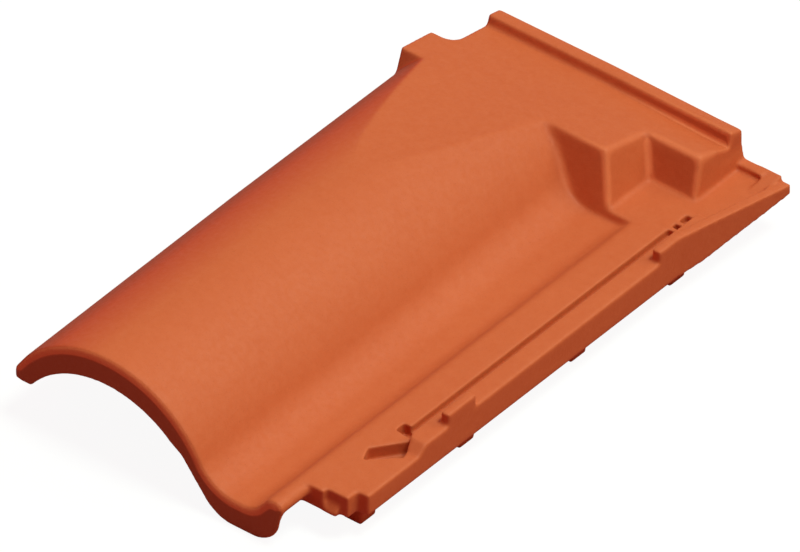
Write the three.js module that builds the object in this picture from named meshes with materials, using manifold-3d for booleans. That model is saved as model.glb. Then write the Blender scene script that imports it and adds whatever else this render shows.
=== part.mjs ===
// Clay interlocking roof tile for the top course, pressed and fired as one piece: a high roll on the
// left, a pan, a side lock on the right, and a flat head that slopes back behind a stepped wall and
// ends in a rib. Millimetres, +Z up. While the tile is made, X = 0 is the line where the pan meets the
// side lock, Y = 0 is the nose edge and Z = 0 is the floor that the tile lies on. At the end the tile
// is centred over the middle of its own box.
import * as THREE from "three";
import { mergeVertices } from "three/addons/utils/BufferGeometryUtils.js";
import Module from "manifold-3d";

const wasm = await Module();
wasm.setup();

// ---- Driving dimensions ------------------------------------------------------------------------
const TILE_LENGTH = 420;
const CLAY = 13;                   // thickness of the pressed sheet
const CURVE_STEPS = 32;            // straight steps in each arc of the section

// Roll
const ROLL_RADIUS = 78.5;          // outside of the roll
const ROLL_TOP = 76;               // height of the crest at the nose
const ROLL_RISE = 2.8;             // how far the crest climbs behind the nose, and over what length
const ROLL_RISE_LENGTH = 190;
const ROLL_HALF_ANGLE = 52;        // degrees of arc left of the crest, and slope of the flank's underside
const LIP_REACH = 7.2;             // how far the lip stands outside the left end of the roll's arc
const LIP_DROP = 10.3;             // from that end down to the lip's upright side
const LIP_SIDE = 7;                // upright side of the lip

// Pan, and the upstand that rises from it to the side lock
const LOCK_FLOOR = 32.5;           // height of the flat floor of the side lock
const PAN_DEPTH = 13.8;            // below the lock floor, at the nose
const PAN_HEAD_DEPTH = 5.6;        // below the lock floor, from the front wall on
const PAN_RADIUS = 29.5;           // hollow that the roll's arc runs into at the foot of the flank
const PAN_FLAT = 5.8;              // level part of the pan at the nose
const UPSTAND_SLOPE = 50;          // steepest slope of the upstand, in degrees
const UPSTAND_FOOT_RADIUS = 16;
const UPSTAND_TOP_RADIUS = 8;
const PAN_CORNER = 28;             // round corner under the foot of the flank

// Nose
const NOSE_BAND = 4;               // length of the deeper band along the nose
const NOSE_BAND_TOP = 19.6;        // thickness of the band at the crest
const NOSE_BAND_SIDE = 7.5;        // the band's hollow is this much tighter than the outside of the roll
const NOSE_HOLLOW_ANGLE = 42;      // degrees from its top to the end of its arc on the right
const NOSE_FLANK_TOP = 33;         // up to this height the band is straight under the flank
const NOSE_CHAMFER_LENGTH = 1;
const NOSE_CHAMFER = 4.6;
const NOSE_CORNER = 20;            // round corner under the right end
const NOSE_CORNER_DRAFT = 5;       // the corner draws back this far over the length of the band
const SIDE_RIGHT = 10;             // right side of the pressed sheet, where it stands free of the lock
const SIDE_CLAY = 6;               // thickness at that side
const SIDE_ROUND = 5;

// Side lock
const LOCK_BOTTOM = 17.5;
const LOCK_WIDTH = 43;
const LOCK_FRONT = 26.3;           // the lock starts this far behind the nose edge
const FRONT_STEP_X = 19.5;
const FRONT_STEP = 3.8;
const CORNER_CUT_X = 35;
const CORNER_CUT = 8.8;
const SILL_RIGHT = 29;             // below the first step in the front edge a sill is left
const SILL_DROP = 8;
const FLARE_LENGTH = 93.5;         // over this length the outer side runs outwards to the head corner
const FLARE = 8.5;
const THIN_LENGTH = 72;            // over this length the lock's underside rises to the head edge
const THIN_CLAY = 6;

// Groove, rim and drain of the side lock
const GROOVE_X = 21.2;
const GROOVE_WIDTH = 8.4;
const GROOVE_DEPTH = 5.2;
const GROOVE_START = 96;
const GROOVE_TO_HEAD = 60;         // from the end of the groove to the head edge
const BRIDGES_TO_HEAD = [77, 70];  // low bars across the groove, as distances from the head edge
const BRIDGE_LENGTH = 3;
const PIT_X = 16;                  // the groove starts in a wider and deeper pit
const PIT_START = 97;
const PIT_LENGTH = 8;
const PIT_DEPTH = 8;
const RIM_START = 85;
const RIM_RAMP = 7;
const RIM_HEIGHT = 5.5;
const DRAIN_CORNERS = [[18.7, 63.8], [35.3, 79.7], [30.2, 95], [14.4, 73.9]];
const DRAIN_DEPTH = 9;

// Stops on the rim's outer edge, and the small rib and ramp across the lock at the head
const STOP_WIDTH = 6.5;
const STOP_HEIGHT = 8.3;
const NOSE_STOP_START = 112.5;
const NOSE_STOP_LENGTH = 25.5;
const HEAD_STOP_LENGTH = 112;
const HEAD_STOP_TAIL = 0.8;        // height above the lock floor that is left at the head edge
const LOCK_RIB_RIGHT = 35;
const LOCK_RIB_WIDTH = 7.5;
const LOCK_RIB_HEIGHT = 4.2;
const LOCK_RAMP_LENGTH = 20;

// Head: a plane that slopes back and the stepped wall in front of it. Towards the nose the plane bows
// down to the crest.
const PLANE_HEIGHT = 64.6;         // where the bow starts, at this distance from the head edge:
const PLANE_TO_HEAD = 74;
const PLANE_SLOPE = 0.18;
const BOW_LENGTH = 150;            // from there to a point in the air above the crest
const BOW = 10.7;                  // how far the bow comes down at that point
const BOW_STEPS = 12;
const WALL_LEAN = 0.36;            // the walls that face the nose lean back this much per mm of height
const FRONT_WALL_TO_HEAD = 85;     // from the feet of the two walls, at the height of the lock floor
const BACK_WALL_TO_HEAD = 47.5;
const FRONT_WALL_RIGHT = -16.6;
const BACK_WALL_RIGHT = 17.4;
const FRONT_SIDE_LEAN = 0.36;
const BACK_SIDE_LEAN = 0.1;
const HEAD_RIB_WIDTH = 12.5;
const HEAD_RIB_HEIGHT = 6.6;
const HEAD_RIB_LEAN = 0.3;

// Left corner of the head: a block that fills the roll's side up to the head plane, and a notch
const BLOCK_INSET = 6;             // from the lip to the block
const BLOCK_TO_HEAD = 82.7;
const NOTCH_WIDTH = 22.6;
const NOTCH_LENGTH = 43;
const NOTCH_FILLET = 8;

// Underside
const FEET_FROM_NOSE = [45, 135.5];
const FEET_TO_HEAD = [181, 89];
const FOOT_X = 24;
const FOOT_SIZE = [17, 18];
const NIB_CENTRES = [-148, -46];
const NIB_TO_HEAD = 54;
const NIB_SIZE = [30, 18];
const TAPER = 0.8;                 // size of a foot or nib at its bottom, as a share of its top

// ---- Values that follow from the dimensions ------------------------------------------------------
const BEYOND = 100;                // how far a cutting solid runs past the tile
const SMALLEST_STEP = 0.03;        // anything finer than this is merged away
const UP = Math.PI / 2;
const HALF_ANGLE = THREE.MathUtils.degToRad(ROLL_HALF_ANGLE);
const STEEPEST = THREE.MathUtils.degToRad(UPSTAND_SLOPE);
const frontWallY = TILE_LENGTH - FRONT_WALL_TO_HEAD;
const backWallY = TILE_LENGTH - BACK_WALL_TO_HEAD;
const flareStart = TILE_LENGTH - FLARE_LENGTH;
const bowEnd = TILE_LENGTH - PLANE_TO_HEAD;
const grooveRight = GROOVE_X + GROOVE_WIDTH;
const grooveEnd = TILE_LENGTH - GROOVE_TO_HEAD;
const headStopStart = TILE_LENGTH - HEAD_STOP_LENGTH;
const upstandRight = UPSTAND_TOP_RADIUS * Math.tan(STEEPEST / 2);
const rollX = upstandLeft(PAN_DEPTH) - PAN_FLAT - flankRun(0);
const lipX = rollX - ROLL_RADIUS * Math.sin(HALF_ANGLE) - LIP_REACH;
const notchX = lipX + NOTCH_WIDTH;
const notchY = TILE_LENGTH - NOTCH_LENGTH;

// Where the front views of the section stand, behind the first one at the nose.
const STATIONS = [
  ROLL_RISE_LENGTH / 2,
  ROLL_RISE_LENGTH,
  (ROLL_RISE_LENGTH + frontWallY) / 2,
  frontWallY,
  TILE_LENGTH,
];

// Heights of the section at a distance along the tile.
function rollCentre(y) {
  return ROLL_TOP - ROLL_RADIUS + ROLL_RISE * Math.min(1, y / ROLL_RISE_LENGTH);
}

function lipBottom(y) {
  const arcEnd = rollCentre(y) + ROLL_RADIUS * Math.cos(HALF_ANGLE);
  return arcEnd - LIP_DROP - LIP_SIDE;
}

function panDepth(y) {
  return THREE.MathUtils.lerp(PAN_DEPTH, PAN_HEAD_DEPTH, Math.min(1, y / frontWallY));
}

// The slope of the flank where the roll's arc runs into the pan's hollow.
function flankSlope(y) {
  const drop = rollCentre(y) + ROLL_RADIUS - (LOCK_FLOOR - panDepth(y));
  return Math.acos(1 - drop / (ROLL_RADIUS + PAN_RADIUS));
}

// From the crest to the lowest point of the pan's hollow, across the tile.
function flankRun(y) {
  return (ROLL_RADIUS + PAN_RADIUS) * Math.sin(flankSlope(y));
}

// The slope of the upstand at a depth of the pan, and where its foot starts.
function upstandSlope(depth) {
  const rounded = depth / (UPSTAND_FOOT_RADIUS + UPSTAND_TOP_RADIUS);
  return Math.min(STEEPEST, Math.acos(1 - rounded));
}

function upstandLeft(depth) {
  const slope = upstandSlope(depth);
  const rounding = UPSTAND_FOOT_RADIUS + UPSTAND_TOP_RADIUS;
  const straight = Math.max(0, depth - rounding * (1 - Math.cos(slope)));
  return upstandRight - rounding * Math.sin(slope) - straight / Math.tan(slope);
}

// Height of the head's plane and its bow at a distance along the tile.
function planeHeight(y) {
  const forward = bowEnd - y;
  return PLANE_HEIGHT + PLANE_SLOPE * forward - BOW * (Math.max(0, forward) / BOW_LENGTH) ** 2;
}

const wallLine = (foot, lean, z) => foot + lean * (z - LOCK_FLOOR);
const flareLine = (y) => LOCK_WIDTH + FLARE * Math.max(0, y - flareStart) / FLARE_LENGTH;

// ---- Helpers ---------------------------------------------------------------------------------------
function toSolid(geometry) {
  const bare = geometry.clone();
  bare.deleteAttribute("normal");
  bare.deleteAttribute("uv");
  const merged = mergeVertices(bare, 1e-4);
  const vertProperties = new Float32Array(merged.attributes.position.array);
  const triVerts = new Uint32Array(merged.index.array);
  return new wasm.Manifold(new wasm.Mesh({ numProp: 3, vertProperties, triVerts }));
}

function toGeometry(solid) {
  const mesh = solid.getMesh();
  const geometry = new THREE.BufferGeometry();
  geometry.setAttribute("position", new THREE.BufferAttribute(mesh.vertProperties, 3));
  geometry.setIndex(new THREE.BufferAttribute(mesh.triVerts, 1));
  return geometry;
}

const toVectors = (points) => points.map(([u, v]) => new THREE.Vector2(u, v));

function extrude(points, depth) {
  return new THREE.ExtrudeGeometry(new THREE.Shape(toVectors(points)), { depth, bevelEnabled: false });
}

// Sweeps a side view drawn in Y and Z along X.
function sweepX(points, start, end) {
  return toSolid(extrude(points, end - start).rotateX(UP).rotateZ(UP).translate(start, 0, 0));
}

// Sweeps a front view drawn in X and Z along Y.
function sweepY(points, start, end) {
  return toSolid(extrude(points, end - start).rotateX(UP).translate(0, end, 0));
}

// Raises a plan drawn in X and Y from one height to another.
function sweepZ(points, bottom, top) {
  return toSolid(extrude(points, top - bottom).translate(0, 0, bottom));
}

function box([x0, x1], [y0, y1], [z0, z1]) {
  const geometry = new THREE.BoxGeometry(x1 - x0, y1 - y0, z1 - z0);
  return toSolid(geometry.translate((x0 + x1) / 2, (y0 + y1) / 2, (z0 + z1) / 2));
}

// A block that narrows towards its bottom, as pressed feet do.
function taperedBlock(centreX, startY, [width, length], bottom, top) {
  const geometry = new THREE.BoxGeometry(width, length, top - bottom);
  const position = geometry.attributes.position;
  for (let i = 0; i < position.count; i += 1) {
    if (position.getZ(i) < 0) {
      position.setXY(i, position.getX(i) * TAPER, position.getY(i) * TAPER);
    }
  }
  return toSolid(geometry.translate(centreX, startY + length / 2, (bottom + top) / 2));
}

function arc([u, v], radius, from, to) {
  return Array.from({ length: CURVE_STEPS + 1 }, (_, i) => {
    const angle = THREE.MathUtils.lerp(from, to, i / CURVE_STEPS);
    return [u + radius * Math.cos(angle), v + radius * Math.sin(angle)];
  });
}

// Joins front views drawn in X and Z, all with the same number of points and each at its own Y.
// The points run clockwise, as seen from the nose.
function loft(views) {
  const count = views[0].points.length;
  const index = [];
  for (let first = 0; first < count * (views.length - 1); first += count) {
    for (let i = 0; i < count; i += 1) {
      const [a, b] = [first + i, first + (i + 1) % count];
      index.push(a, b, a + count, b, b + count, a + count);
    }
  }
  const last = count * (views.length - 1);
  for (const [a, b, c] of THREE.ShapeUtils.triangulateShape(toVectors(views[0].points), [])) {
    index.push(a, b, c);
  }
  for (const [a, b, c] of THREE.ShapeUtils.triangulateShape(toVectors(views.at(-1).points), [])) {
    index.push(last + a, last + c, last + b);
  }
  const vertices = views.flatMap(({ y, points }) => points.flatMap(([x, z]) => [x, y, z]));
  const geometry = new THREE.BufferGeometry();
  geometry.setAttribute("position", new THREE.Float32BufferAttribute(vertices, 3));
  geometry.setIndex(index);
  return toSolid(geometry);
}

const join = (...pieces) => pieces.reduce((whole, piece) => whole.add(piece));

// ---- Roll and pan ----------------------------------------------------------------------------------
// The top line of the section, from the lip to the right side of the sheet. It may be drawn inset into
// the clay.
function topLine(y, inset = 0) {
  const depth = panDepth(y);
  const slope = upstandSlope(depth);
  const pan = LOCK_FLOOR - depth;
  const panX = rollX + flankRun(y);
  const flank = flankSlope(y);
  const topCentre = [upstandRight, LOCK_FLOOR - UPSTAND_TOP_RADIUS];
  const sideCentre = [SIDE_RIGHT - SIDE_ROUND, LOCK_FLOOR - SIDE_ROUND];
  const foot = upstandLeft(depth);
  return [
    [lipX + inset, lipBottom(y)],
    [lipX + inset, lipBottom(y) + LIP_SIDE],
    ...arc([rollX, rollCentre(y)], ROLL_RADIUS - inset, UP + HALF_ANGLE, UP - flank),
    ...arc([panX, pan + PAN_RADIUS], PAN_RADIUS + inset, -UP - flank, -UP),
    ...arc([foot, pan + UPSTAND_FOOT_RADIUS], UPSTAND_FOOT_RADIUS + inset, -UP, slope - UP),
    ...arc(topCentre, UPSTAND_TOP_RADIUS - inset, UP + slope, UP),
    ...arc(sideCentre, SIDE_ROUND - inset, UP, 0),
  ];
}

// Where the flank's underside meets a height.
function flankUnderside(y, z) {
  const radius = ROLL_RADIUS - CLAY;
  const drop = rollCentre(y) + radius * Math.cos(HALF_ANGLE) - z;
  return rollX + radius * Math.sin(HALF_ANGLE) + drop / Math.tan(HALF_ANGLE);
}

// The round corner between a level underside and the flank, from right to left.
function panCorner(y, bottom) {
  const x = flankUnderside(y, bottom) + PAN_CORNER * Math.tan(HALF_ANGLE / 2);
  return arc([x, bottom + PAN_CORNER], PAN_CORNER, -UP, -UP - HALF_ANGLE);
}

// A hollow under the roll, from the flank to the lip.
function hollow(y, centre, radius, flankAngle) {
  const lipAngle = Math.acos((lipBottom(y) - centre[1]) / radius);
  return arc(centre, radius, UP - flankAngle, UP + lipAngle);
}

function sheetView(y) {
  const bottom = LOCK_FLOOR - panDepth(y) - CLAY;
  const side = LOCK_FLOOR - SIDE_CLAY;
  const points = [
    ...topLine(y),
    [SIDE_RIGHT, side],
    [SIDE_RIGHT - (side - bottom) / Math.tan(STEEPEST), bottom],
    ...panCorner(y, bottom),
    ...hollow(y, [rollX, rollCentre(y)], ROLL_RADIUS - CLAY, HALF_ANGLE),
  ];
  return { y, points };
}

function pressedSheet() {
  return loft([NOSE_BAND, ...STATIONS].map(sheetView));
}

function noseView(y, inset) {
  const draft = NOSE_CORNER_DRAFT * y / NOSE_BAND;
  const radius = ROLL_RADIUS - NOSE_BAND_SIDE;
  const centre = [rollX, ROLL_TOP - NOSE_BAND_TOP - radius];
  const points = [
    ...topLine(y, inset),
    ...arc([SIDE_RIGHT - inset - draft - NOSE_CORNER, NOSE_CORNER], NOSE_CORNER, 0, -UP),
    ...panCorner(y, 0),
    [flankUnderside(y, NOSE_FLANK_TOP), NOSE_FLANK_TOP],
    ...hollow(y, centre, radius, THREE.MathUtils.degToRad(NOSE_HOLLOW_ANGLE)),
  ];
  return { y, points };
}

function noseBand() {
  return loft([noseView(0, NOSE_CHAMFER), noseView(NOSE_CHAMFER_LENGTH, 0), noseView(NOSE_BAND, 0)]);
}

// The section filled down to the floor.
function filledSection() {
  return loft([0, ...STATIONS].map((y) => {
    return { y, points: [...topLine(y), [SIDE_RIGHT, 0], [lipX, 0]] };
  }));
}

// What is open under the roll and its flank.
function rollHollow() {
  return loft([0, ...STATIONS].map((y) => {
    const under = arc([rollX, rollCentre(y)], ROLL_RADIUS - CLAY, 2 * UP, UP - HALF_ANGLE);
    return { y, points: [...under, [flankUnderside(y, 0), 0]] };
  }));
}

// ---- Side lock -------------------------------------------------------------------------------------
function lockPlate() {
  const stepY = LOCK_FRONT + FRONT_STEP;
  const plan = [
    [upstandRight, LOCK_FRONT],
    [FRONT_STEP_X, LOCK_FRONT],
    [FRONT_STEP_X, stepY],
    [CORNER_CUT_X, stepY],
    [CORNER_CUT_X, stepY + CORNER_CUT],
    [LOCK_WIDTH, stepY + CORNER_CUT],
    [LOCK_WIDTH, flareStart],
    [LOCK_WIDTH + FLARE, TILE_LENGTH],
    [upstandRight, TILE_LENGTH],
  ];
  const thinStart = TILE_LENGTH - THIN_LENGTH;
  const thinning = [
    [thinStart, LOCK_BOTTOM],
    [thinStart, 0],
    [TILE_LENGTH + BEYOND, 0],
    [TILE_LENGTH + BEYOND, LOCK_FLOOR - THIN_CLAY],
    [TILE_LENGTH, LOCK_FLOOR - THIN_CLAY],
  ];
  const sill = box([FRONT_STEP_X, SILL_RIGHT], [LOCK_FRONT, stepY], [LOCK_BOTTOM, LOCK_FLOOR - SILL_DROP]);
  const plate = join(sweepZ(plan, LOCK_BOTTOM, LOCK_FLOOR), sill, headPlate());
  return plate.subtract(sweepX(thinning, BACK_WALL_RIGHT, LOCK_WIDTH + BEYOND));
}

// The part of the lock's plate that runs under the front wall and closes off the pan.
function headPlate() {
  const side = [
    [wallLine(frontWallY, WALL_LEAN, LOCK_BOTTOM), LOCK_BOTTOM],
    [TILE_LENGTH, LOCK_BOTTOM],
    [TILE_LENGTH, LOCK_FLOOR],
    [frontWallY, LOCK_FLOOR],
  ];
  return sweepX(side, FRONT_WALL_RIGHT - CLAY, BACK_WALL_RIGHT);
}

// The rim between the groove and the outer side. Its front end is a short ramp.
function rim() {
  const plan = [
    [grooveRight, RIM_START],
    [LOCK_WIDTH, RIM_START],
    [LOCK_WIDTH, flareStart],
    [flareLine(grooveEnd), grooveEnd],
    [grooveRight, grooveEnd],
  ];
  const top = LOCK_FLOOR + RIM_HEIGHT;
  const side = [
    [RIM_START, LOCK_FLOOR],
    [RIM_START, LOCK_FLOOR - CLAY / 2],
    [TILE_LENGTH, LOCK_FLOOR - CLAY / 2],
    [TILE_LENGTH, top],
    [RIM_START + RIM_RAMP, top],
  ];
  return sweepZ(plan, 0, top).intersect(sweepX(side, 0, LOCK_WIDTH + FLARE));
}

function noseStop() {
  const sides = [LOCK_WIDTH - STOP_WIDTH, LOCK_WIDTH];
  const top = LOCK_FLOOR + RIM_HEIGHT + STOP_HEIGHT;
  return box(sides, [NOSE_STOP_START, NOSE_STOP_START + NOSE_STOP_LENGTH], [LOCK_FLOOR, top]);
}

// The stop at the head is level at first, and then ramps down along the flared side.
function headStop() {
  const plan = [
    [LOCK_WIDTH - STOP_WIDTH, headStopStart],
    [LOCK_WIDTH, headStopStart],
    [LOCK_WIDTH, flareStart],
    [LOCK_WIDTH + FLARE, TILE_LENGTH],
    [LOCK_WIDTH + FLARE - STOP_WIDTH, TILE_LENGTH],
    [LOCK_WIDTH - STOP_WIDTH, flareStart],
  ];
  const top = LOCK_FLOOR + RIM_HEIGHT + STOP_HEIGHT;
  const side = [
    [headStopStart, LOCK_FLOOR - THIN_CLAY / 2],
    [TILE_LENGTH, LOCK_FLOOR - THIN_CLAY / 2],
    [TILE_LENGTH, LOCK_FLOOR + HEAD_STOP_TAIL],
    [flareStart, top],
    [headStopStart, top],
  ];
  return sweepZ(plan, 0, top).intersect(sweepX(side, 0, LOCK_WIDTH + FLARE));
}

function lockRib() {
  const sides = [BACK_WALL_RIGHT - CLAY / 2, LOCK_RIB_RIGHT];
  const top = LOCK_FLOOR + LOCK_RIB_HEIGHT;
  return box(sides, [TILE_LENGTH - LOCK_RIB_WIDTH, TILE_LENGTH], [LOCK_FLOOR - THIN_CLAY / 2, top]);
}

// Beside the rib the lock floor ramps up to the head edge.
function lockRamp() {
  const side = [
    [TILE_LENGTH - LOCK_RAMP_LENGTH, LOCK_FLOOR],
    [TILE_LENGTH - LOCK_RAMP_LENGTH, LOCK_FLOOR - THIN_CLAY / 2],
    [TILE_LENGTH, LOCK_FLOOR - THIN_CLAY / 2],
    [TILE_LENGTH, LOCK_FLOOR + LOCK_RIB_HEIGHT],
  ];
  return sweepX(side, LOCK_RIB_RIGHT, LOCK_WIDTH + FLARE - STOP_WIDTH);
}

function groove() {
  const across = [GROOVE_X, grooveRight];
  const heights = [LOCK_FLOOR - GROOVE_DEPTH, LOCK_FLOOR + BEYOND];
  const bridges = BRIDGES_TO_HEAD.map((distance) => {
    const start = TILE_LENGTH - distance;
    return box(across, [start, start + BRIDGE_LENGTH], [heights[0], LOCK_FLOOR]);
  });
  const channel = box(across, [GROOVE_START, grooveEnd], heights).subtract(join(...bridges));
  const pitHeights = [LOCK_FLOOR - PIT_DEPTH, LOCK_FLOOR + BEYOND];
  return channel.add(box([PIT_X, grooveRight], [PIT_START, PIT_START + PIT_LENGTH], pitHeights));
}

function drain() {
  return sweepZ(DRAIN_CORNERS, LOCK_FLOOR - DRAIN_DEPTH, LOCK_FLOOR + BEYOND);
}

// ---- Head ------------------------------------------------------------------------------------------
// The bow and the plane in side view, moved up by a height.
function planeLine(height) {
  const bow = Array.from({ length: BOW_STEPS + 1 }, (_, i) => bowEnd - BOW_LENGTH * (1 - i / BOW_STEPS));
  return [...bow, TILE_LENGTH + BEYOND].map((y) => [y, planeHeight(y) + height]);
}

// A solid that fills the space between two heights measured from the plane and its bow.
function planeSlab(below, above) {
  return sweepX([...planeLine(below), ...planeLine(above).reverse()], lipX - BEYOND, LOCK_WIDTH + BEYOND);
}

// One step of the head: its front and its right side lean back, and inset makes it smaller all round.
function headStep(wallY, wallRight, sideLean, inset, bottom, end) {
  const top = ROLL_TOP;
  const side = [
    [wallLine(wallY, WALL_LEAN, bottom) + inset, bottom],
    [end, bottom],
    [end, top],
    [wallLine(wallY, WALL_LEAN, top) + inset, top],
  ];
  const front = [
    [rollX, bottom],
    [wallLine(wallRight, -sideLean, bottom) - inset, bottom],
    [wallLine(wallRight, -sideLean, top) - inset, top],
    [rollX, top],
  ];
  return sweepX(side, rollX, LOCK_WIDTH + BEYOND).intersect(sweepY(front, 0, end));
}

function headSteps(inset, bottom, end) {
  const front = headStep(frontWallY, FRONT_WALL_RIGHT, FRONT_SIDE_LEAN, inset, bottom, end);
  return front.add(headStep(backWallY, BACK_WALL_RIGHT, BACK_SIDE_LEAN, inset, bottom, end));
}

function headRib() {
  const foot = TILE_LENGTH - HEAD_RIB_WIDTH;
  const side = [
    [foot, planeHeight(foot) - CLAY / 2],
    [TILE_LENGTH, planeHeight(TILE_LENGTH) - CLAY / 2],
    [TILE_LENGTH, planeHeight(TILE_LENGTH) + HEAD_RIB_HEIGHT],
    [foot + HEAD_RIB_LEAN * HEAD_RIB_HEIGHT, planeHeight(foot) + HEAD_RIB_HEIGHT],
    [foot, planeHeight(foot)],
  ];
  const right = wallLine(BACK_WALL_RIGHT, -BACK_SIDE_LEAN, planeHeight(TILE_LENGTH));
  return sweepX(side, notchX, right);
}

function notch() {
  const filletCentre = [notchX - NOTCH_FILLET, notchY + NOTCH_FILLET];
  const plan = [
    [lipX - BEYOND, TILE_LENGTH + BEYOND],
    [lipX - BEYOND, notchY],
    ...arc(filletCentre, NOTCH_FILLET, -UP, 0),
    [notchX, TILE_LENGTH + BEYOND],
  ];
  return sweepZ(plan, -BEYOND, BEYOND);
}

function cornerBlock() {
  const foot = TILE_LENGTH - BLOCK_TO_HEAD;
  const side = [
    [wallLine(foot, WALL_LEAN, LOCK_BOTTOM), LOCK_BOTTOM],
    [notchY, LOCK_BOTTOM],
    [notchY, ROLL_TOP],
    [wallLine(foot, WALL_LEAN, ROLL_TOP), ROLL_TOP],
  ];
  const aboveLip = box([lipX, rollX], [0, TILE_LENGTH], [lipBottom(TILE_LENGTH), ROLL_TOP]);
  return sweepX(side, lipX + BLOCK_INSET, rollX).intersect(aboveLip).subtract(rollHollow());
}

// ---- Underside -------------------------------------------------------------------------------------
function feet() {
  const starts = [...FEET_FROM_NOSE, ...FEET_TO_HEAD.map((distance) => TILE_LENGTH - distance)];
  const top = LOCK_BOTTOM + CLAY / 2;
  return join(...starts.map((start) => taperedBlock(FOOT_X, start, FOOT_SIZE, 0, top)));
}

function nibs() {
  const start = TILE_LENGTH - NIB_TO_HEAD;
  const top = planeHeight(start + NIB_SIZE[1]) - CLAY / 2;
  return join(...NIB_CENTRES.map((centre) => taperedBlock(centre, start, NIB_SIZE, 0, top)));
}

// ---- The tile --------------------------------------------------------------------------------------
function buildTile() {
  const lock = lockPlate().add(rim()).subtract(groove()).subtract(drain());
  const lockDetails = join(noseStop(), headStop(), lockRib(), lockRamp());
  const steps = headSteps(0, LOCK_BOTTOM, TILE_LENGTH).subtract(rollHollow());
  const headTop = filledSection().intersect(planeSlab(-CLAY, 0));
  const hollowHead = headSteps(CLAY, -BEYOND, TILE_LENGTH + BEYOND);
  const headHollow = hollowHead.subtract(planeSlab(-CLAY, 2 * BEYOND));
  return join(pressedSheet(), noseBand(), lock, steps, headTop, cornerBlock())
    .subtract(planeSlab(0, 2 * BEYOND))
    .subtract(headHollow)
    .add(join(headRib(), lockDetails, feet(), nibs()))
    .subtract(notch());
}

const tile = toGeometry(buildTile().simplify(SMALLEST_STEP));
tile.computeBoundingBox();
const middle = tile.boundingBox.getCenter(new THREE.Vector3());
tile.translate(-middle.x, -middle.y, -tile.boundingBox.min.z);

const firedClay = new THREE.MeshStandardMaterial({ color: 0xcb663a, roughness: 0.75, metalness: 0 });
const roofTile = new THREE.Mesh(tile, firedClay);
roofTile.name = "roof_tile";

const part = new THREE.Group();
part.add(roofTile);
export default part;
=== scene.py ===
"""A clay roof tile on a pale studio floor.

Lengths are in metres and angles in degrees, in the part's own frame: +Y runs from the nose to the head,
+X from the roll to the side lock, and +Z is up.
"""

import math

import bpy
import numpy as np
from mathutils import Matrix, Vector


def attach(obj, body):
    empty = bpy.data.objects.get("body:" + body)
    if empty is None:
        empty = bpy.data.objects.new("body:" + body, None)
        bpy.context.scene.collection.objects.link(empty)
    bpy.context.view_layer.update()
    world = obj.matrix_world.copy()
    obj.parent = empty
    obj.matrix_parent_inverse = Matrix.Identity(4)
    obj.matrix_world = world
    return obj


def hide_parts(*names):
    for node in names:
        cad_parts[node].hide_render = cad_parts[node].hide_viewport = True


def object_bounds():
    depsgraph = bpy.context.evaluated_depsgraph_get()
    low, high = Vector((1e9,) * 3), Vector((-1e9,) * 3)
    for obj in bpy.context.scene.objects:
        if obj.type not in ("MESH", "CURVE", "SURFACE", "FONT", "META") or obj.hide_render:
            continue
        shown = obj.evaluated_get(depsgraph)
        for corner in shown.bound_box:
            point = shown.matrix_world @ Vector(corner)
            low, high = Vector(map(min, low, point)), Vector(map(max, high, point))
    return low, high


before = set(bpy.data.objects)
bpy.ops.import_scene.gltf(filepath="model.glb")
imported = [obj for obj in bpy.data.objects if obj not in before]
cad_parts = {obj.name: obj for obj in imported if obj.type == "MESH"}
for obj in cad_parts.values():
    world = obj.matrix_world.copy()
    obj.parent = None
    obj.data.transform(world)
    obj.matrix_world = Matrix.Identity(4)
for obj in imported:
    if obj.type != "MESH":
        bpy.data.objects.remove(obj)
cad_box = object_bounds()

NODE = "roof_tile"

# ---- Clay surface -----------------------------------------------------------------------------------
# A box is given by its lowest and its highest corner, and its edge fades over a length inside it. A pair of
# values says where something sets in: not at all at the first value, and fully at the second.
GRID = 0.0007            # spacing of the even mesh that the surface is worked on
MOST_TRIANGLES = 190000
MOVE = 0.5               # in one round of relaxing, a point goes this share of the way to its neighbours
ROUND_VARIANCE = MOVE * GRID ** 2 / 2   # what one round adds to the square of the spread

# Every arris is rounded, as clay leaves the press.
SOFTNESS = 0.0014        # spread of the rounding
SHARP_SHARE = 0.35       # only this share of it reaches the sharper places
SHARP_BOXES = {
    "thin head corner of the lock": ((0.095, 0.130, 0.020), (0.150, 0.250, 0.060)),
    "groove and drain of the lock": ((0.079, -0.150, 0.020), (0.1045, 0.160, 0.060)),
}
SHARP_FADE = 0.004
STEP_SOFTNESS = 0.0027   # spread of the further rounding on the two steps in front of the head
STEP_BOX = ((-0.080, 0.112, 0.031), (0.0895, 0.186, 0.090))
STEP_FADE = 0.006

# The head plane dips in front of the rib, most of all at the rib's right end.
DIP = 0.0035
DIP_X = (-0.011, 0.067)  # deeper and deeper to the right
DIP_Y = (0.178, 0.196)   # and towards the rib
DIP_Z = (0.040, 0.048)   # what lies lower, beside the plane, stays
RIB_Z = (0.054, 0.0605)  # and so does the top of the rib

# The top of the low sill in the lock's front edge slopes down to the front.
SILL_TOP = 0.0252
SILL_Z = (0.0178, SILL_TOP)
SILL_BOX = ((0.0870, -0.1850, 0.0170), (0.0985, -0.1796, SILL_TOP))
SILL_FADE = 0.0008
SILL_BACK = -0.1799      # from here to the front
SILL_SLOPE = 1.5

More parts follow.
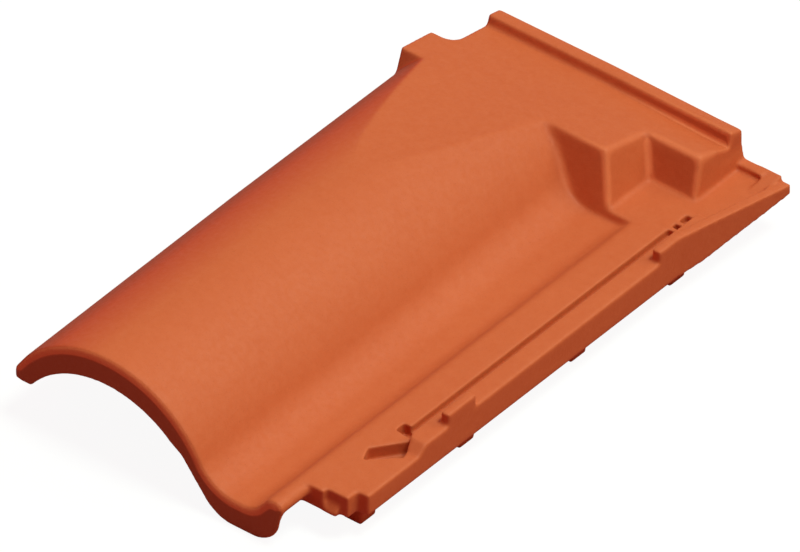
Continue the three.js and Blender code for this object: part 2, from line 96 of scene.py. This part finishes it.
# Where the clay changes tone, and where highlight and shade are painted into its colour.
MARK_SPREAD = 0.0010     # reach over which arrises and hollows are told apart
FULL_CURVE = 420         # curvature, per metre, of a full arris or hollow
HIGHLIGHT_BOX = ((-0.100, 0.100, 0.031), (0.0895, 0.205, 0.090))   # the steps, whose edges get a painted highlight
HIGHLIGHT_CURVE = (45, 110)   # curvature that counts as an edge there
HIGHLIGHT_FACING = (-0.3, 0.6)   # the painted highlight is strongest where they face the nose
HIGHLIGHT_X = (0.0, 0.045)    # and away from the roll
NOSE_END = -0.2070       # the nose's face lies in front of this
NOSE_FACING = (0.70, 0.90)   # and faces forwards by this much
CHAMFER_TILT = (0.03, 0.10)   # its upper part, the chamfer, tilts up by this much
CREST_X = -0.0513        # the roll's left side lies to the left of this
TOP_TILT = (-0.3, -0.1)  # and tilts down less than its underside
LEFT_SHADE_FACING = (0.08, 0.52)   # painted shade: it is painted redder the more it faces left, away from the light
LEFT_DEEP_SHADE_FACING = (0.46, 0.67)   # and then painted darker too, as deeper shade


def read(items, field, width, kind=float):
    """One row of values for each vertex or edge."""
    values = np.empty(len(items) * width, dtype=kind)
    items.foreach_get(field, values)
    return values.reshape(-1, width)


def ramp(values, start, end):
    """0 at the start, 1 at the end, even between them and level beyond them."""
    return np.clip((values - start) / (end - start), 0, 1)


def inside(points, box, fade):
    """1 inside the box and 0 outside it, with an even change just inside its faces."""
    low, high = np.array(box)
    return (ramp(points, low, low + fade) * ramp(points, high, high - fade)).prod(axis=1)


def neighbour_mean(points, pairs, count):
    """The middle of each point's neighbours, where a pair is the two ends of an edge."""
    total = np.zeros_like(points)
    for axis in range(3):
        total[:, axis] += np.bincount(pairs[:, 0], points[pairs[:, 1], axis], len(points))
        total[:, axis] += np.bincount(pairs[:, 1], points[pairs[:, 0], axis], len(points))
    return total / count[:, None]


def rounds_for(spread):
    return round(spread ** 2 / ROUND_VARIANCE)


def relax(points, pairs, spread, share=1.0):
    """Evens the points out over this spread, round by round. A share below 1 holds a point back."""
    count = np.bincount(pairs.ravel(), minlength=len(points)).astype(float)
    move = MOVE * np.broadcast_to(share, len(points))[:, None]
    for _ in range(rounds_for(spread)):
        points = points + move * (neighbour_mean(points, pairs, count) - points)
    return points


def lowered(points, depth):
    moved = points.copy()
    moved[:, 2] -= depth
    return moved


def dip_before_rib(points):
    x, y, z = points.T
    height = ramp(z, *DIP_Z) * (1 - ramp(z, *RIB_Z))
    return lowered(points, DIP * ramp(x, *DIP_X) * ramp(y, *DIP_Y) * height)


def slope_sill(points):
    y, z = points[:, 1], points[:, 2]
    slope = SILL_SLOPE * np.clip(SILL_BACK - y, 0, None)
    return lowered(points, slope * ramp(z, *SILL_Z) * inside(points, SILL_BOX, SILL_FADE))


def curvature(points, pairs, normals):
    """Curvature per metre, above 0 on an arris and below 0 in a hollow.

    A surface that is relaxed sinks by half of its curvature times the square of the spread.
    """
    sunk = np.einsum("ij,ij->i", points - relax(points, pairs, MARK_SPREAD), normals)
    return 2 * sunk / (rounds_for(MARK_SPREAD) * ROUND_VARIANCE)


def highlighted_edges(points, normals, curve):
    """Where a painted highlight goes: the edges of the steps in front of the head, sharp and hollow alike."""
    place = ramp(points[:, 0], *HIGHLIGHT_X) * inside(points, HIGHLIGHT_BOX, STEP_FADE)
    return ramp(abs(curve), *HIGHLIGHT_CURVE) * ramp(-normals[:, 1], *HIGHLIGHT_FACING) * place


def nose_face(points, normals):
    """The two parts of the nose's face: the chamfer, which gets a painted highlight, and what lies below it,
    which gets painted shade.
    """
    face = ramp(-normals[:, 1], *NOSE_FACING) * (points[:, 1] < NOSE_END)
    chamfer = ramp(normals[:, 2], *CHAMFER_TILT)
    return face * chamfer, face * (1 - chamfer)


def left_shade(points, normals, facing):
    """Where shade is painted: the left side of the roll, from its crest down to the lip, as far as it faces
    left.
    """
    upper = (points[:, 0] < CREST_X) * ramp(normals[:, 2], *TOP_TILT)
    return upper * ramp(-normals[:, 0], *facing)


def mark_tones_and_painted_light(mesh, points, pairs):
    """Stores on the mesh how far each point takes on each clay tone, painted highlight and shade, from 0 to
    1.
    """
    normals = read(mesh.vertices, "normal", 3)
    curve = curvature(points, pairs, normals)
    chamfer, shaded_nose_face = nose_face(points, normals)
    marks = {
        # arrises: a little paler, partly rubbing and partly painted highlight
        "arris": ramp(curve, 0, FULL_CURVE),
        # hollows: painted shade
        "hollow": ramp(-curve, 0, FULL_CURVE),
        # the roll's left side: painted shade, then deeper painted shade
        "red": left_shade(points, normals, LEFT_SHADE_FACING),
        "left_deep_shade": left_shade(points, normals, LEFT_DEEP_SHADE_FACING),
        # painted highlight on the step edges and the nose's chamfer
        "painted_highlight": highlighted_edges(points, normals, curve) + chamfer,
        # painted shade on the nose's face below the chamfer
        "dark": shaded_nose_face,
    }
    for name, values in marks.items():
        layer = mesh.attributes.new(name, "FLOAT", "POINT")
        layer.data.foreach_set("value", values.astype(np.float32))


def with_modifier(source, name, kind, settings):
    """A new mesh: what the modifier makes of the source mesh."""
    holder = bpy.data.objects.new(name, source)
    bpy.context.scene.collection.objects.link(holder)
    modifier = holder.modifiers.new(name, kind)
    for key, value in settings.items():
        setattr(modifier, key, value)
    graph = bpy.context.evaluated_depsgraph_get()
    made = bpy.data.meshes.new_from_object(holder.evaluated_get(graph))
    bpy.data.objects.remove(holder)
    return made


def pressed_mesh():
    """The solid's surface with its arrises rounded and its tones, painted highlights and painted shade
    marked.
    """
    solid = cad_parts[NODE].data.copy()
    even = with_modifier(solid, "even_grid", "REMESH", {"mode": "VOXEL", "voxel_size": GRID})
    pairs = read(even.edges, "vertices", 2, np.int64)
    points = slope_sill(dip_before_rib(read(even.vertices, "co", 3)))
    sharp = np.max([inside(points, box, SHARP_FADE) for box in SHARP_BOXES.values()], axis=0)
    points = relax(points, pairs, SOFTNESS, 1 - (1 - SHARP_SHARE) * sharp)
    points = relax(points, pairs, STEP_SOFTNESS, inside(points, STEP_BOX, STEP_FADE))
    even.vertices.foreach_set("co", points.ravel())
    even.update()
    mark_tones_and_painted_light(even, points, pairs)
    triangles = 2 * len(even.polygons)
    return with_modifier(even, "fewer_faces", "DECIMATE", {"ratio": min(1, MOST_TRIANGLES / triangles)})


def make_tile():
    mesh = pressed_mesh()
    mesh.polygons.foreach_set("use_smooth", np.ones(len(mesh.polygons), dtype=bool))
    mesh.materials.clear()
    mesh.materials.append(fired_clay())
    tile = bpy.data.objects.new("clay_tile", mesh)
    bpy.context.scene.collection.objects.link(tile)
    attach(tile, "root")
    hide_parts(NODE)


# ---- Materials --------------------------------------------------------------------------------------
def linear(red, green, blue):
    """A colour from its 0 to 255 screen values, by the usual screen curve."""
    values = []
    for part in (red, green, blue):
        share = part / 255
        values.append(share / 12.92 if share <= 0.04045 else ((share + 0.055) / 1.055) ** 2.4)
    return (*values, 1)


CLAY = linear(203, 99, 51)
# the clay's deeper tone, used also for the painted shade in hollows
CLAY_DEEP_TONE_AND_SHADE = linear(186, 80, 36)
# the clay's paler tone, used also for the painted highlight on arrises
CLAY_PALE_TONE_AND_HIGHLIGHT = linear(214, 116, 70)
CLAY_HIGHLIGHT = (0.78, 0.205, 0.07, 1)   # painted highlight on the edges of the steps and the chamfer of the nose
CLAY_NOSE_SHADE = (0.40, 0.094, 0.026, 1)   # painted shade on the face of the nose, below its chamfer
CLAY_LEFT_SHADE = (0.56, 0.064, 0.012, 1)   # painted shade on the left side of the roll
CLAY_LEFT_DEEP_SHADE = (0.38, 0.050, 0.011, 1)   # deeper painted shade at the foot of that side, by the lip
GRAIN_DARK = linear(150, 58, 26)

# Noise has a scale, in waves to the metre, and a detail, in octaves. It shows as a pattern between two of its
# values.
FEW_OCTAVES = 2.0
SOME_OCTAVES = 3.0
MANY_OCTAVES = 4.0
NOISE_ROUGHNESS = 0.55
TONE_VALUES = (0.35, 0.65)
TONE_SHARE = 0.16        # how strongly the changes of tone show
KILN_SCALE = 9.0         # slow changes of tone, from the kiln
BODY_SCALE = 140.0       # finer ones, from the clay body
ARRIS_WEAR_AND_HIGHLIGHT_SHARE = 0.1        # arrises are painted a little paler: partly rubbing, partly painted highlight
HOLLOW_SHADE_SHARE = 0.8       # painted shade: hollows are painted deeper in tone
GRAIN_SHARE = 0.3        # sand and grog: fine dark and pale grains
DARK_GRAIN_SCALE = 1500.0
DARK_GRAIN_VALUES = (0.62, 0.72)
PALE_GRAIN_SCALE = 1100.0
PALE_GRAIN_VALUES = (0.64, 0.74)
ROUGHNESS_SCALE = 320.0
ROUGHNESS_VALUES = (0.3, 0.7)
ROUGHNESS = (0.62, 0.76)
GRAIN_RELIEF = {"scale": 1300.0, "strength": 0.22, "height": 0.0004}
RIPPLE_RELIEF = {"scale": 210.0, "strength": 0.25, "height": 0.0009}

# Sockets of the node that mixes colours; their names are not unique.
MIX_FACTOR = 0
MIX_FIRST = 6
MIX_SECOND = 7
MIX_RESULT = 2


class Nodes:
    """Short ways to add and join shader nodes."""

    def __init__(self, owner):
        owner.use_nodes = True
        self.tree = owner.node_tree
        self.tree.nodes.clear()

    def add(self, kind, **inputs):
        """A new node. Each input is a value or another node's socket, and its name has _ for a space."""
        node = self.tree.nodes.new(kind)
        for name, value in inputs.items():
            self.set(node, name.replace("_", " "), value)
        return node

    def set(self, node, socket, value):
        target = node.inputs[socket]
        if isinstance(value, bpy.types.NodeSocket):
            self.tree.links.new(value, target)
        else:
            target.default_value = value

    def noise(self, where, scale, octaves=SOME_OCTAVES):
        settings = {"Scale": scale, "Detail": octaves, "Roughness": NOISE_ROUGHNESS}
        return self.add("ShaderNodeTexNoise", Vector=where, **settings).outputs["Fac"]

    def remap(self, value, start, end, to_start=0.0, to_end=1.0):
        limits = {"From_Min": start, "From_Max": end, "To_Min": to_start, "To_Max": to_end}
        return self.add("ShaderNodeMapRange", Value=value, **limits).outputs["Result"]

    def mix(self, factor, first, second):
        node = self.tree.nodes.new("ShaderNodeMix")
        node.data_type = "RGBA"
        self.set(node, MIX_FACTOR, factor)
        self.set(node, MIX_FIRST, first)
        self.set(node, MIX_SECOND, second)
        return node.outputs[MIX_RESULT]

    def math(self, operation, first, second):
        node = self.tree.nodes.new("ShaderNodeMath")
        node.operation = operation
        self.set(node, 0, first)
        self.set(node, 1, second)
        return node.outputs[0]

    def scaled(self, value, factor):
        return self.math("MULTIPLY", value, factor)

    def attribute(self, name):
        node = self.tree.nodes.new("ShaderNodeAttribute")
        node.attribute_name = name
        return node.outputs["Fac"]

    def relief(self, where, scale, strength, height):
        """A bump node that raises noise of this scale to this height."""
        noise = self.noise(where, scale)
        return self.add("ShaderNodeBump", Height=noise, Strength=strength, Distance=height)

    def mix_shaders(self, factor, first, second):
        node = self.tree.nodes.new("ShaderNodeMixShader")
        for socket, value in enumerate((factor, first, second)):
            self.set(node, socket, value)
        return node.outputs["Shader"]

    def add_shaders(self, first, second):
        node = self.tree.nodes.new("ShaderNodeAddShader")
        self.set(node, 0, first)
        self.set(node, 1, second)
        return node.outputs["Shader"]


def clay_colour(nodes, where):
    kiln = nodes.remap(nodes.noise(where, KILN_SCALE, FEW_OCTAVES), *TONE_VALUES)
    body = nodes.remap(nodes.noise(where, BODY_SCALE, MANY_OCTAVES), *TONE_VALUES)
    dark_grain = nodes.remap(nodes.noise(where, DARK_GRAIN_SCALE, FEW_OCTAVES), *DARK_GRAIN_VALUES)
    pale_grain = nodes.remap(nodes.noise(where, PALE_GRAIN_SCALE, FEW_OCTAVES), *PALE_GRAIN_VALUES)
    colour = nodes.mix(nodes.scaled(kiln, TONE_SHARE), CLAY, CLAY_DEEP_TONE_AND_SHADE)
    colour = nodes.mix(nodes.scaled(body, TONE_SHARE), colour, CLAY_PALE_TONE_AND_HIGHLIGHT)
    # arrises a little paler: partly rubbing, partly painted highlight
    colour = nodes.mix(nodes.scaled(nodes.attribute("arris"), ARRIS_WEAR_AND_HIGHLIGHT_SHARE), colour, CLAY_PALE_TONE_AND_HIGHLIGHT)
    # painted shade in the hollows
    colour = nodes.mix(nodes.scaled(nodes.attribute("hollow"), HOLLOW_SHADE_SHARE), colour, CLAY_DEEP_TONE_AND_SHADE)
    # painted shade on the roll's left side, redder and then darker
    colour = nodes.mix(nodes.attribute("red"), colour, CLAY_LEFT_SHADE)
    colour = nodes.mix(nodes.attribute("left_deep_shade"), colour, CLAY_LEFT_DEEP_SHADE)
    # painted highlight on the step edges and the nose's chamfer
    colour = nodes.mix(nodes.attribute("painted_highlight"), colour, CLAY_HIGHLIGHT)
    # painted shade on the nose's face below the chamfer
    colour = nodes.mix(nodes.attribute("dark"), colour, CLAY_NOSE_SHADE)
    colour = nodes.mix(nodes.scaled(dark_grain, GRAIN_SHARE), colour, GRAIN_DARK)
    return nodes.mix(nodes.scaled(pale_grain, GRAIN_SHARE), colour, CLAY_PALE_TONE_AND_HIGHLIGHT)


def fired_clay():
    """Matt clay: slight changes of tone, fine grains, painted highlight and shade, and low relief of grain
    and ripple.
    """
    material = bpy.data.materials.new("fired_clay")
    nodes = Nodes(material)
    where = nodes.add("ShaderNodeTexCoord").outputs["Object"]
    grain = nodes.relief(where, **GRAIN_RELIEF)
    ripple = nodes.relief(where, **RIPPLE_RELIEF)
    nodes.set(ripple, "Normal", grain.outputs["Normal"])
    roughness = nodes.remap(nodes.noise(where, ROUGHNESS_SCALE), *ROUGHNESS_VALUES, *ROUGHNESS)
    shader = nodes.add("ShaderNodeBsdfPrincipled", Roughness=roughness, Normal=ripple.outputs["Normal"])
    nodes.set(shader, "Base Color", clay_colour(nodes, where))
    nodes.add("ShaderNodeOutputMaterial", Surface=shader.outputs["BSDF"])
    return material


# ---- Studio -----------------------------------------------------------------------------------------
FLOOR_SIZE = 30.0
FLOOR_GAP = 0.0002       # the floor lies this far below the tile, so that the two never share a face
FLOOR_LIGHT = (0.40, 0.15, 0.15, 1)   # its colour as it lights the tile
FLOOR_SHADOW = (0.1, 0.1, 0.1, 1)   # its colour as it is seen, which takes the shadow,
FLOOR_GLOW = 0.93        # and the glow on top of that, which keeps it nearly white
NEAR_FLOOR = 2.0         # nearer than this, the floor is reflected as it is lit and not as a white backdrop

LENS = 1150.0            # in millimetres, as is the sensor; so long a lens gives a nearly parallel view
SENSOR = 36.0
CAMERA_AZIMUTH = 38.905
CAMERA_ELEVATION = 37.98
CAMERA_DISTANCE = 14.825
CAMERA_CLIP = (1.0, 60.0)
CAMERA_TARGET = Vector((0.0, 0.0, 0.0325))
TARGET_RIGHT = -0.00238  # the camera aims this far to the right of the target and this far above it
TARGET_UP = 0.00137

SUN_SPREAD = 20
KEY_AZIMUTH = 105
KEY_ELEVATION = 70
KEY_COLOUR = (0.64, 0.83, 0.72)
FILL_AZIMUTH = 135
FILL_ELEVATION = 40
FILL_COLOUR = (0.16, 0.16, 0.10)
SKY_COLOUR = (0.255, 0.01, 0.01, 1)
WHITE = (1, 1, 1, 1)


def seen_directly(nodes, path):
    """1 on the rays that reach the camera straight or through glass."""
    return nodes.math("MAXIMUM", path.outputs["Is Camera Ray"], path.outputs["Is Transmission Ray"])


def pale_floor():
    """Nearly white with a soft shadow where it is seen; it lights the tile with a weak warm glow."""
    material = bpy.data.materials.new("pale_floor")
    nodes = Nodes(material)
    path = nodes.add("ShaderNodeLightPath")
    far = nodes.math("GREATER_THAN", path.outputs["Ray Length"], NEAR_FLOOR)
    mirrored = nodes.math("MULTIPLY", path.outputs["Is Glossy Ray"], far)
    seen = nodes.math("MAXIMUM", seen_directly(nodes, path), mirrored)
    lighting = nodes.add("ShaderNodeBsdfDiffuse", Color=FLOOR_LIGHT).outputs["BSDF"]
    shadow = nodes.add("ShaderNodeBsdfDiffuse", Color=FLOOR_SHADOW).outputs["BSDF"]
    white = nodes.add("ShaderNodeEmission", Strength=FLOOR_GLOW).outputs["Emission"]
    surface = nodes.mix_shaders(seen, lighting, nodes.add_shaders(shadow, white))
    nodes.add("ShaderNodeOutputMaterial", Surface=surface)
    return material


def make_floor():
    half = FLOOR_SIZE / 2
    height = cad_box[0].z - FLOOR_GAP
    corners = [(-half, -half), (half, -half), (half, half), (-half, half)]
    mesh = bpy.data.meshes.new("floor")
    mesh.from_pydata([(x, y, height) for x, y in corners], [], [(0, 1, 2, 3)])
    mesh.materials.append(pale_floor())
    floor = bpy.data.objects.new("floor", mesh)
    bpy.context.scene.collection.objects.link(floor)


def make_world():
    """White where it is seen, directly or in a gloss; it lights the tile with a weak warm glow."""
    world = bpy.data.worlds.new("studio")
    bpy.context.scene.world = world
    nodes = Nodes(world)
    path = nodes.add("ShaderNodeLightPath")
    seen = nodes.math("MAXIMUM", seen_directly(nodes, path), path.outputs["Is Glossy Ray"])
    glow = nodes.add("ShaderNodeBackground", Color=SKY_COLOUR).outputs["Background"]
    white = nodes.add("ShaderNodeBackground", Color=WHITE).outputs["Background"]
    nodes.add("ShaderNodeOutputWorld", Surface=nodes.mix_shaders(seen, glow, white))


def towards(azimuth, elevation):
    """The direction from the tile to something at this azimuth (0 is -Y, 90 is +X) and elevation."""
    turn = math.radians(azimuth)
    rise = math.radians(elevation)
    return Vector((math.sin(turn) * math.cos(rise), -math.cos(turn) * math.cos(rise), math.sin(rise)))


def look_along(thing, direction):
    """Turns a camera or a lamp so that it looks along this direction, upright."""
    thing.rotation_mode = "QUATERNION"
    thing.rotation_quaternion = direction.to_track_quat("-Z", "Y")


def make_camera():
    data = bpy.data.cameras.new("camera")
    data.lens = LENS
    data.sensor_width = SENSOR
    data.clip_start, data.clip_end = CAMERA_CLIP
    camera = bpy.data.objects.new("camera", data)
    back = towards(CAMERA_AZIMUTH, CAMERA_ELEVATION)
    right = Vector((-back.y, back.x, 0)).normalized()
    up = back.cross(right)
    camera.location = CAMERA_TARGET + right * TARGET_RIGHT + up * TARGET_UP + back * CAMERA_DISTANCE
    look_along(camera, -back)
    bpy.context.scene.collection.objects.link(camera)
    bpy.context.scene.camera = camera


def make_sun(name, azimuth, elevation, colour):
    """A broad light. At full colour it lights a face square to it as bright as the face is painted."""
    data = bpy.data.lights.new(name, "SUN")
    data.angle = math.radians(SUN_SPREAD)
    data.color = colour
    data.energy = math.pi
    lamp = bpy.data.objects.new(name, data)
    look_along(lamp, -towards(azimuth, elevation))
    bpy.context.scene.collection.objects.link(lamp)


make_tile()
make_floor()
make_world()
make_camera()
make_sun("key", KEY_AZIMUTH, KEY_ELEVATION, KEY_COLOUR)
make_sun("fill", FILL_AZIMUTH, FILL_ELEVATION, FILL_COLOUR)
bpy.context.scene.view_settings.view_transform = "Standard"
